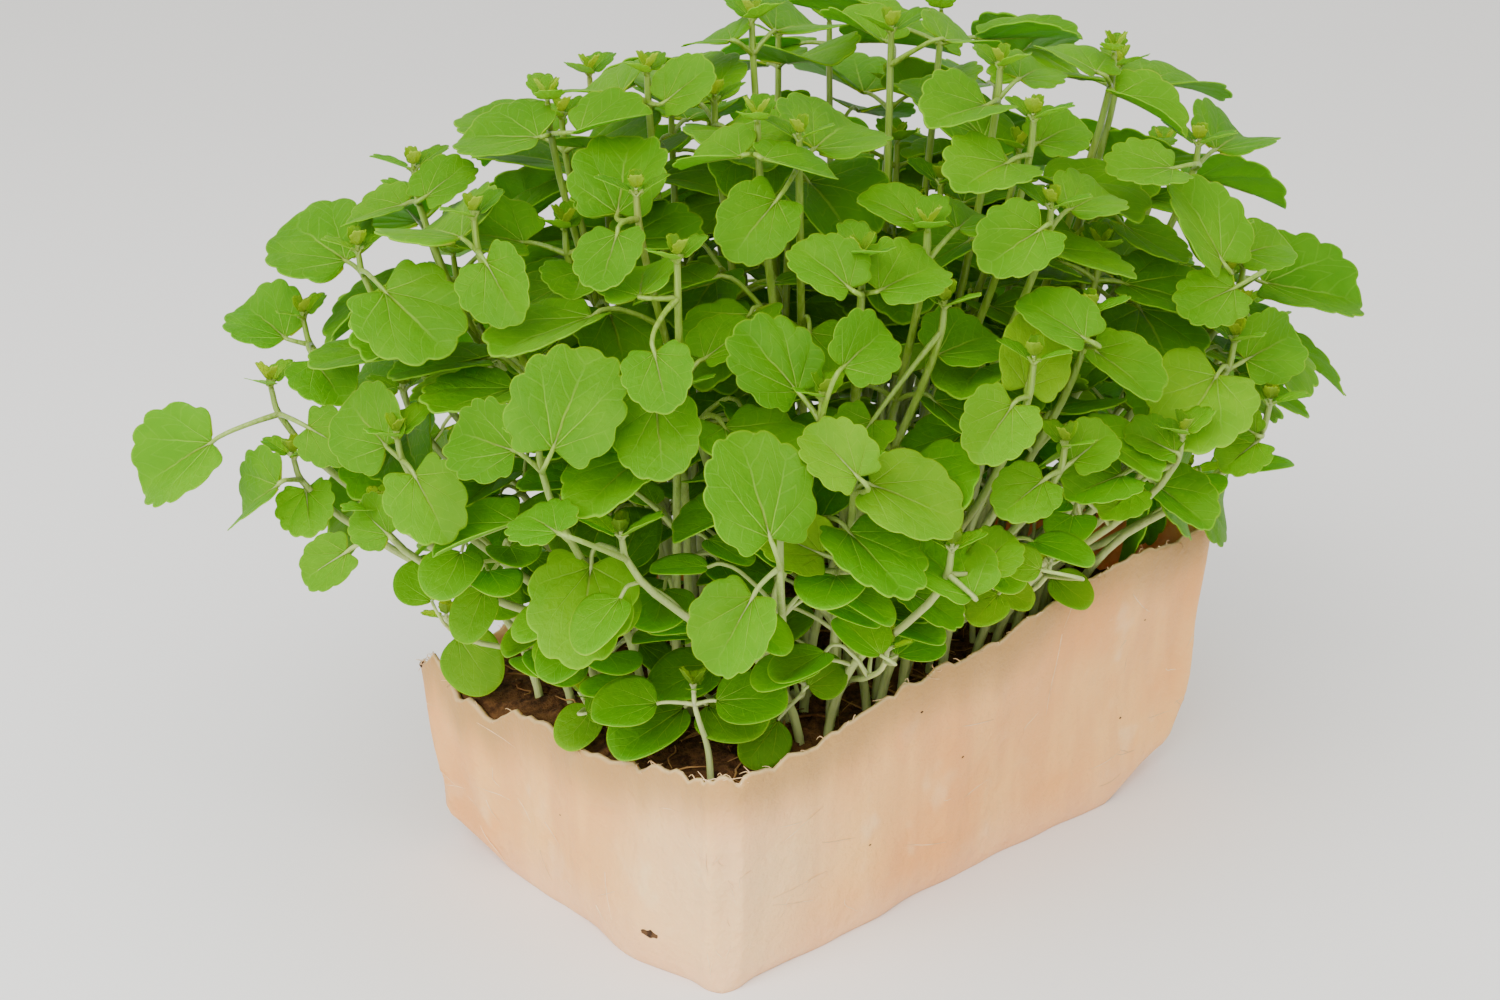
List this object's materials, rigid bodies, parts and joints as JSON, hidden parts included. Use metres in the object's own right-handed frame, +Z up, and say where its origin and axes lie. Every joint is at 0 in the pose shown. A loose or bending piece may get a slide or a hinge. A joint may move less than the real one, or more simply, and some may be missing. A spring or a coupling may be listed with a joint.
{
  "type": "microgreens tray",
  "caption": "Rounded rectangular plant-fibre tray of soil, holding a dense canopy of leafy seedlings on slim stems.",
  "frame": {"origin": "centre of the tray's flat underside", "axes": "+Z up out of the tray, +X along the tray's long side, -Y towards the long side that the picture shows"},
  "size_m": [0.1932, 0.1463, 0.1444],
  "materials": {
    "fibre": "matt moulded plant fibre, slightly translucent, with a torn rim",
    "earth": "damp brown coir and soil",
    "leaf_green": "soft hairy leaf green",
    "leaf_light": "yellow-green young leaf",
    "leaf_deep": "deeper shaded leaf green"
  },
  "bodies": {
    "root": {"tray": "fibre", "soil": "earth", "seedling_01": "leaf_green", "seedling_02": "leaf_light", "seedling_03": "leaf_deep", "seedling_04": "leaf_green", "seedling_05": "leaf_light", "seedling_06": "leaf_deep", "seedling_07": "leaf_green", "seedling_08": "leaf_light", "seedling_09": "leaf_deep", "seedling_10": "leaf_green", "seedling_11": "leaf_light", "seedling_12": "leaf_deep", "seedling_13": "leaf_green", "seedling_14": "leaf_light", "seedling_15": "leaf_deep", "seedling_16": "leaf_green", "seedling_17": "leaf_light", "seedling_18": "leaf_deep", "seedling_19": "leaf_green", "seedling_20": "leaf_light", "seedling_21": "leaf_deep", "seedling_22": "leaf_green", "seedling_23": "leaf_light", "seedling_24": "leaf_deep", "seedling_25": "leaf_green", "seedling_26": "leaf_light", "seedling_27": "leaf_deep", "seedling_28": "leaf_green", "seedling_29": "leaf_light", "seedling_30": "leaf_deep", "seedling_31": "leaf_green", "seedling_32": "leaf_light", "seedling_33": "leaf_deep", "seedling_34": "leaf_green", "seedling_35": "leaf_light", "seedling_36": "leaf_deep", "seedling_37": "leaf_green", "seedling_38": "leaf_light", "seedling_39": "leaf_deep", "seedling_40": "leaf_green", "seedling_41": "leaf_light", "seedling_42": "leaf_deep", "seedling_43": "leaf_green", "seedling_44": "leaf_light", "seedling_45": "leaf_deep", "seedling_46": "leaf_green", "seedling_47": "leaf_light", "seedling_48": "leaf_deep", "seedling_49": "leaf_green", "seedling_50": "leaf_light", "seedling_51": "leaf_deep", "seedling_52": "leaf_green", "seedling_53": "leaf_light", "seedling_54": "leaf_deep", "seedling_55": "leaf_green", "seedling_56": "leaf_light", "seedling_57": "leaf_deep", "seedling_58": "leaf_green"}
  },
  "joints": []
}
